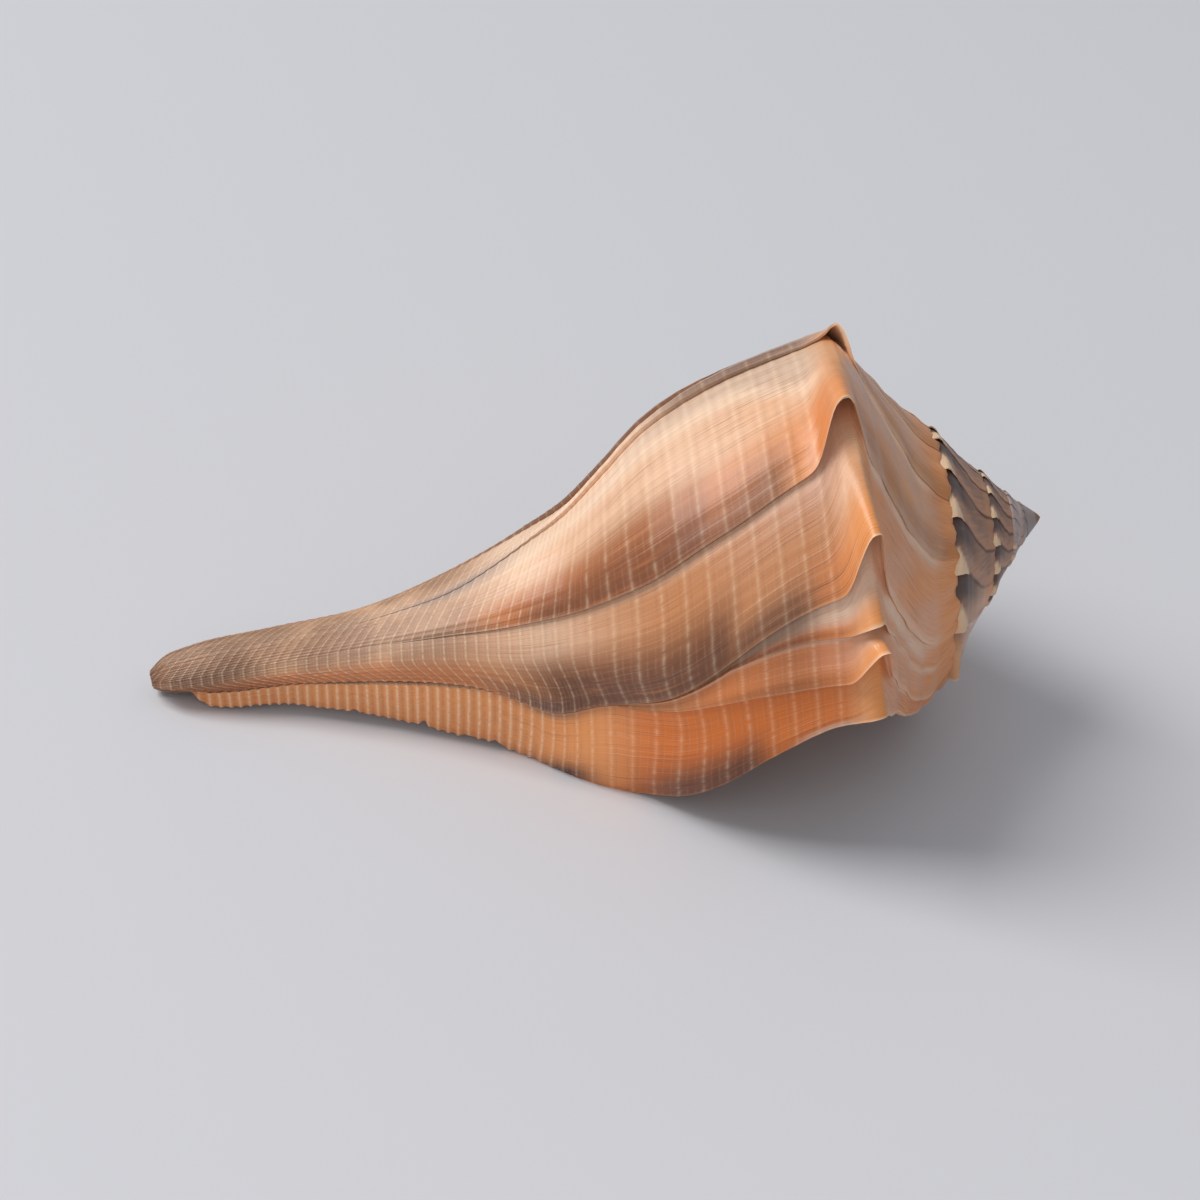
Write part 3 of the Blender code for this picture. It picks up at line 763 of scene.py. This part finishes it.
def spire_shares(here):
    """The worn spire: cream triangles, tan and shadowed patches, and dark lines at its old lip edges, with
    painted shade just under each edge.
    """
    u, turn, back = here.u, here.turn, -here.p
    cream = rise(u, 0.52 + 1.7 * back, 0.10) * (turn > -3.0)
    tan = np.maximum(rise(back, 0.86, 0.08), 0.6 * rise(u, 0.55, 0.3))
    shadow = fade(u, 0.30, 0.45) * (1.0 - 0.75 * rise(back, 0.25, 0.5)) * fade(-turn, 2.0, 0.8)
    # dark lines at the old lip edges, and painted shade just under each edge where it overhangs
    line = strongest(
        fade(u, 0.0, 0.06),
        rise(u, 0.965, 0.03) * (1.0 - cream),
        0.8 * fade(u, 0.0, 0.22) * fade(back, 0.15, 0.35),
    )
    return {"spire": rise(-turn, 0.93, 0.08), "cream": cream, "tan": tan, "shadow": shadow,
            "line": line * (turn > -3.0)}


def colour_fields(fields):
    """How strongly every colour shows at every point, 0 to 1."""
    here = Places(fields)
    shares = {
        "dark": dark_share(here),
        "slate": slate_share(here),
        "shade": shade_share(here),
        "old": old_share(here),
        "pale": pale_share(here),
        "lavender": lavender_share(here),
        "rust": rust_share(here),
        "amber_and_highlight": amber_and_highlight_share(here),
        "strip": here.strip,
    }
    shares.update(spire_shares(here))
    return {name: np.clip(value, 0.0, 1.0) for name, value in shares.items()}


class Nodes:
    """Short names for the nodes of one material."""

    def __init__(self, name):
        self.material = bpy.data.materials.new(name)
        self.material.use_nodes = True
        self.tree = self.material.node_tree
        self.surface = self.tree.nodes["Principled BSDF"]

    def put(self, socket, value):
        if isinstance(value, bpy.types.NodeSocket):
            self.tree.links.new(value, socket)
        else:
            socket.default_value = value

    def field(self, name):
        made = self.tree.nodes.new("ShaderNodeAttribute")
        made.attribute_name = name
        return made.outputs["Fac"]

    def math(self, operation, *values):
        made = self.tree.nodes.new("ShaderNodeMath")
        made.operation = operation
        for socket, value in zip(made.inputs, values):
            self.put(socket, value)
        return made.outputs[0]

    def times(self, first, second):
        return self.math('MULTIPLY', first, second)

    def without(self, value):
        return self.math('SUBTRACT', 1.0, value)

    def band(self, value, low, high):
        made = self.tree.nodes.new("ShaderNodeMapRange")
        made.interpolation_type = 'SMOOTHSTEP'
        self.put(made.inputs["Value"], value)
        made.inputs["From Min"].default_value = low
        made.inputs["From Max"].default_value = high
        return made.outputs["Result"]

    def mix(self, share, first, second, blend='MIX'):
        made = self.tree.nodes.new("ShaderNodeMix")
        made.data_type = 'RGBA'
        made.blend_type = blend
        self.put(made.inputs["Factor"], share)
        self.put(made.inputs[6], first)
        self.put(made.inputs[7], second)
        return made.outputs[2]

    def vector(self, x, y, z):
        made = self.tree.nodes.new("ShaderNodeCombineXYZ")
        for socket, value in zip(made.inputs, (x, y, z)):
            self.put(socket, value)
        return made.outputs[0]

    def noise(self, vector, scale, detail=3.0, rough=0.55):
        made = self.tree.nodes.new("ShaderNodeTexNoise")
        if vector is not None:
            self.put(made.inputs["Vector"], vector)
        made.inputs["Scale"].default_value = scale
        made.inputs["Detail"].default_value = detail
        made.inputs["Roughness"].default_value = rough
        return made.outputs["Fac"]


class ShellNodes(Nodes):
    """Nodes of the shell's material, with the fields and noises that several of its colours share."""

    def __init__(self, name):
        super().__init__(name)
        self.section, self.turn, self.cords = self.field("section"), self.field("turn"), self.field("cords")
        self.growth = self.math('ADD', self.field("count"), self.field("stage"))
        place_on_shell = self.tree.nodes.new("ShaderNodeTexCoord").outputs["Object"]
        self.mottle = self.noise(place_on_shell, 90.0, 4.0)
        self.fine = self.noise(place_on_shell, 900.0, 3.0)
        self.streak = self.grown_noise(26.0, self.times(self.section, 9.0), 0.0, 4.0)
        self.ring = self.grown_noise(90.0, self.times(self.section, 5.0), 3.0, 2.0, 0.55)
        self.broken = self.grown_noise(14.0, self.cords, 5.0, 3.0)

    def grown_noise(self, rate, across, seed, detail, rough=0.6):
        """Noise that follows the growth lines."""
        return self.noise(self.vector(self.times(self.growth, rate), across, seed), 1.0, detail, rough)

    def cord_wave(self, number, height=0.5):
        """Wave with so many crests for each spiral cord, 0 to 1."""
        angle = self.times(self.cords, number * 2.0 * math.pi)
        return self.math('MULTIPLY_ADD', self.math('COSINE', angle), height, 0.5)

    def painted(self, under, name, noise, low, high, colour):
        """A colour over another where its field is strong, broken up by a noise."""
        return self.mix(self.times(self.field(name), self.band(noise, low, high)), under, colour)


def growth_colour(n):
    """Tan shell with its painted bands and fine growth rings."""
    colour = n.mix(n.band(n.mottle, 0.3, 0.7), TAN, TAN_DEEP)
    colour = n.mix(n.field("shade"), colour, BROWN_TAN)
    colour = n.painted(colour, "rust", n.streak, -0.3, 0.45, ORANGE)
    # light orange, with painted highlights along the shoulder and on the newest stage's lower flank
    colour = n.painted(colour, "amber_and_highlight", n.streak, -0.2, 0.45, AMBER_AND_HIGHLIGHT)
    colour = n.painted(colour, "lavender", n.streak, 0.1, 0.6, LAVENDER)
    # pale strips, with painted highlights on some tops and shoulders
    colour = n.painted(colour, "pale", n.streak, 0.10, 0.50, PINK_WHITE)
    colour = n.painted(colour, "old", n.mottle, 0.10, 0.60, OLD_GREY)
    colour = n.painted(colour, "slate", n.streak, 0.05, 0.50, SLATE)
    colour = n.painted(colour, "dark", n.streak, 0.05, 0.50, DARK_BROWN)
    brown_rings = n.times(n.band(n.ring, 0.56, 0.72), n.band(n.mottle, 0.38, 0.62))
    colour = n.mix(n.times(brown_rings, 0.6), colour, GROWTH_BROWN_AND_SHADE)
    light_rings = n.times(n.without(n.band(n.ring, 0.26, 0.42)), 0.14)
    return n.mix(light_rings, colour, CORD_PALE)


def spire_colour(n):
    """The worn spire, whorl by whorl up to its brown tip."""
    spread = n.vector(n.times(n.turn, 120.0), n.times(n.section, 2.5), 7.0)
    patch = n.noise(spread, 1.0, 3.0, 0.6)
    whorls = n.mix(n.band(n.turn, -2.6, -2.0), SPIRE_BLUE, SPIRE_TAN)
    colour = n.mix(n.band(patch, 0.30, 0.70), SPIRE_GREY, whorls)
    colour = n.painted(colour, "tan", n.mottle, 0.2, 0.6, SPIRE_TAN)
    colour = n.painted(colour, "shadow", patch, 0.05, 0.45, SPIRE_DARK)
    colour = n.painted(colour, "cream", n.mottle, 0.10, 0.40, SPIRE_CREAM)
    # dark lines at the old lip edges, with painted shade under them
    colour = n.mix(n.times(n.field("line"), 0.85), colour, SPIRE_LINE_AND_SHADE)
    colour = n.mix(n.times(n.without(n.band(n.turn, -3.15, -2.9)), 0.75), colour, SPIRE_BLUE)
    colour = n.mix(n.without(n.band(n.turn, -4.1, -3.9)), colour, TIP_GREY)
    return n.mix(n.without(n.band(n.turn, -5.0, -4.75)), colour, TIP_BROWN)


def with_cords(n, colour):
    """Pale spiral cords with painted shade in the gaps between them, and the flutes along the newest part
    of the canal, with painted shade in their troughs.
    """
    ridge, between = n.cord_wave(1.0), n.cord_wave(3.0)
    off_ramp = n.band(n.section, 0.01, 0.06)
    crest = n.times(n.math('POWER', between, 7.0), 0.38)
    crest = n.math('ADD', n.times(n.math('POWER', ridge, 18.0), 0.85), crest)
    crest = n.math('ADD', n.times(n.math('POWER', ridge, 5.0), 0.40), crest)
    crest = n.times(n.times(crest, off_ramp), n.band(n.broken, 0.28, 0.66))
    crest = n.times(crest, n.without(n.times(n.field("spire"), 0.8)))
    crest = n.times(crest, n.math('MULTIPLY_ADD', n.band(n.section, 0.36, 0.5), 0.14, 0.17))
    # painted shade in the gaps between the cords
    gap_shade = n.times(n.times(n.cord_wave(2.0, -0.5), n.band(n.broken, 0.20, 0.70)), off_ramp)
    gap_shade = n.times(gap_shade, n.without(n.field("spire")))
    colour = n.mix(n.times(gap_shade, 0.16), colour, GROWTH_BROWN_AND_SHADE)
    colour = n.mix(crest, colour, CORD_PALE)
    flute = n.times(n.field("strip"), n.band(n.broken, 0.15, 0.70))
    colour = n.mix(n.times(flute, n.times(n.math('POWER', ridge, 3.0), 0.42)), colour, CORD_PALE)
    # painted shade in the troughs between the flutes
    trough_shade = n.math('POWER', n.without(ridge), 3.0)
    return n.mix(n.times(flute, n.times(trough_shade, 0.30)), colour, GROWTH_BROWN_AND_SHADE)


def with_edges(n, colour):
    """Fine rings, the thin pale edges of old lips, the hollows under them, and the peach inside."""
    colour = n.mix(n.times(n.band(n.ring, 0.35, 0.75), 0.25), colour, RING_SHADE, 'MULTIPLY')
    edge = n.times(n.field("edge"), n.math('MULTIPLY_ADD', n.field("knob"), 0.7, 0.12))
    colour = n.mix(n.times(edge, n.without(n.field("spire"))), colour, EDGE_PALE)
    hollow = n.times(n.field("hollow"), n.math('MULTIPLY_ADD', n.field("spire"), -0.7, 0.75))
    colour = n.mix(hollow, colour, SCOOP_PALE)
    return n.mix(n.field("inside"), colour, n.mix(n.band(n.mottle, 0.3, 0.7), PEACH, PEACH_DEEP))


def shell_material():
    """Satin shell: growth flames, spiral cords, fine rings and the worn dark spire."""
    n = ShellNodes("whelk_shell")
    colour = n.mix(n.field("spire"), growth_colour(n), spire_colour(n))
    n.put(n.surface.inputs["Base Color"], with_edges(n, with_cords(n, colour)))

    rough = n.math('MULTIPLY_ADD', n.mottle, 0.16, 0.30)
    n.put(n.surface.inputs["Roughness"], n.math('ADD', rough, n.times(n.field("spire"), 0.12)))
    n.surface.inputs["IOR"].default_value = SHELL_IOR
    grain = n.tree.nodes.new("ShaderNodeBump")
    grain.inputs["Strength"].default_value = GRAIN_STRENGTH
    grain.inputs["Distance"].default_value = GRAIN_HEIGHT
    n.put(grain.inputs["Height"], n.math('ADD', n.times(n.ring, 0.8), n.times(n.fine, 0.35)))
    n.put(n.surface.inputs["Normal"], grain.outputs["Normal"])
    return n.material


def plain_material(name, colour, roughness):
    """Evenly coloured matt surface."""
    material = bpy.data.materials.new(name)
    material.use_nodes = True
    surface = material.node_tree.nodes["Principled BSDF"]
    surface.inputs["Base Color"].default_value = colour
    surface.inputs["Roughness"].default_value = roughness
    return material


def turned(right, up, back, where):
    """Matrix of a thing with these axes at a place."""
    return Matrix([[right[i], up[i], back[i], where[i]] for i in range(3)] + [[0.0, 0.0, 0.0, 1.0]])


def soft_light(name, where, side, power, colour):
    """Square area light that faces the shell."""
    data = bpy.data.lights.new(name, 'AREA')
    data.shape = 'SQUARE'
    data.size = side
    data.energy = power
    data.color = colour
    made = bpy.data.objects.new(name, data)
    bpy.context.scene.collection.objects.link(made)
    back = np.array(where) / np.linalg.norm(where)
    right = np.cross((0.0, 0.0, 1.0), back)
    right = right / np.linalg.norm(right)
    up = np.cross(back, right)
    made.matrix_world = turned(right, up, back, where)


def tip_grid():
    """The smooth first whorl: a small cone at the very tip, closed inside the next whorl."""
    grid = Grid(np.linspace(-1.0, 0.0, 24))
    down = grid.p + 1.0
    a = TIP_DEPTH * down
    r = TIP_SLOPE * a + TIP_ROUND * (1.0 - np.exp(-a / TIP_ROUND))
    r = r * (1.0 - 0.6 * smooth((down - 0.88) / 0.12))
    for turn in np.linspace(0.0, 360.0, 33):
        grid.add(place(a, r + 1e-5, turn), 0.5, TIP_TURN + (TIP_BASE_TURN - TIP_TURN) * down, -70.0)
    return grid


def make_shell():
    """The three pieces of the shell: its last whorl, the inside behind the lip, and the spire."""
    pauses = all_pauses()
    skin = shell_material()

    grid = Grid(BODY_SECTION)
    lines = uneven_lines(pauses, grid.p)
    for k in range(len(pauses) - BODY_STAGES, len(pauses)):
        span = float(np.max(lines[k] - lines[k - 1]))
        count = int(np.clip(span / ROW_ANGLE, *ROWS_OF_STAGE))
        shares = 1.0 - (1.0 - np.linspace(0.0, 1.0, count)) ** ROW_POWER
        add_stage(grid, lines, pauses, k, shares, k == len(pauses) - 1)
    body = build_mesh("shell_body", [grid])

    inner = Grid(BODY_SECTION)
    lip = uneven_lines(pauses, inner.p)
    k = len(pauses) - 1
    outer, base, angle, share = stage_point(lip[k - 1], lip[k], pauses[k][6], 1.0, inner.p, 0)
    inner.add(outer, 1.0, angle / 360.0, 0.0, edge=1.0)
    add_lip(inner, lip[k], pauses[k][6])
    inside = build_mesh("shell_inside", [inner])

    middle = Grid(MIDDLE_SECTION)
    lines = uneven_lines(pauses, middle.p)
    early = Grid(SPIRE_SECTION)
    early_lines = uneven_lines(pauses, early.p)
    for k in range(1, len(pauses) - BODY_STAGES):
        if pauses[k][0] > MIDDLE_FROM:
            add_stage(middle, lines, pauses, k, np.linspace(0.0, 1.0, MIDDLE_ROWS), False)
        else:
            add_stage(early, early_lines, pauses, k, np.linspace(0.0, 1.0, EARLY_ROWS), False)
    spire = build_mesh("shell_spire", [tip_grid(), early, middle])
    for piece in (body, inside, spire):
        piece.data.materials.append(skin)
        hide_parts("shell")
        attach(piece, "root")


def make_stage():
    """Pale floor, soft light from the left, behind and above, and the camera."""
    floor_mesh = bpy.data.meshes.new("floor")
    corners = [(x * FLOOR_REACH, y * FLOOR_REACH, 0.0) for x, y in ((-1, -1), (1, -1), (1, 1), (-1, 1))]
    floor_mesh.from_pydata(corners, [], [(0, 1, 2, 3)])
    floor = bpy.data.objects.new("floor", floor_mesh)
    bpy.context.scene.collection.objects.link(floor)
    floor.data.materials.append(plain_material("pale_floor", FLOOR_COLOUR, FLOOR_ROUGHNESS))
    world = bpy.data.worlds.new("soft_world")
    world.use_nodes = True
    background = world.node_tree.nodes["Background"]
    background.inputs["Color"].default_value = WORLD_COLOUR
    background.inputs["Strength"].default_value = WORLD_STRENGTH
    bpy.context.scene.world = world
    for light in LIGHTS:
        soft_light(*light)
    bpy.context.scene.view_settings.view_transform = 'Standard'

    camera_data = bpy.data.cameras.new("camera")
    camera_data.lens = LENS
    camera_data.sensor_width = SENSOR
    camera_data.clip_start = 0.01
    camera = bpy.data.objects.new("camera", camera_data)
    bpy.context.scene.collection.objects.link(camera)
    right, up, back = (np.array(row) for row in CAMERA_ROWS)
    aside, above, away = CAMERA_FROM_TIP
    where = np.array(SHIFT) + aside * right + above * up + away * back
    camera.matrix_world = turned(right, up, back, where)
    bpy.context.scene.camera = camera


make_shell()
make_stage()
bpy.context.view_layer.update()
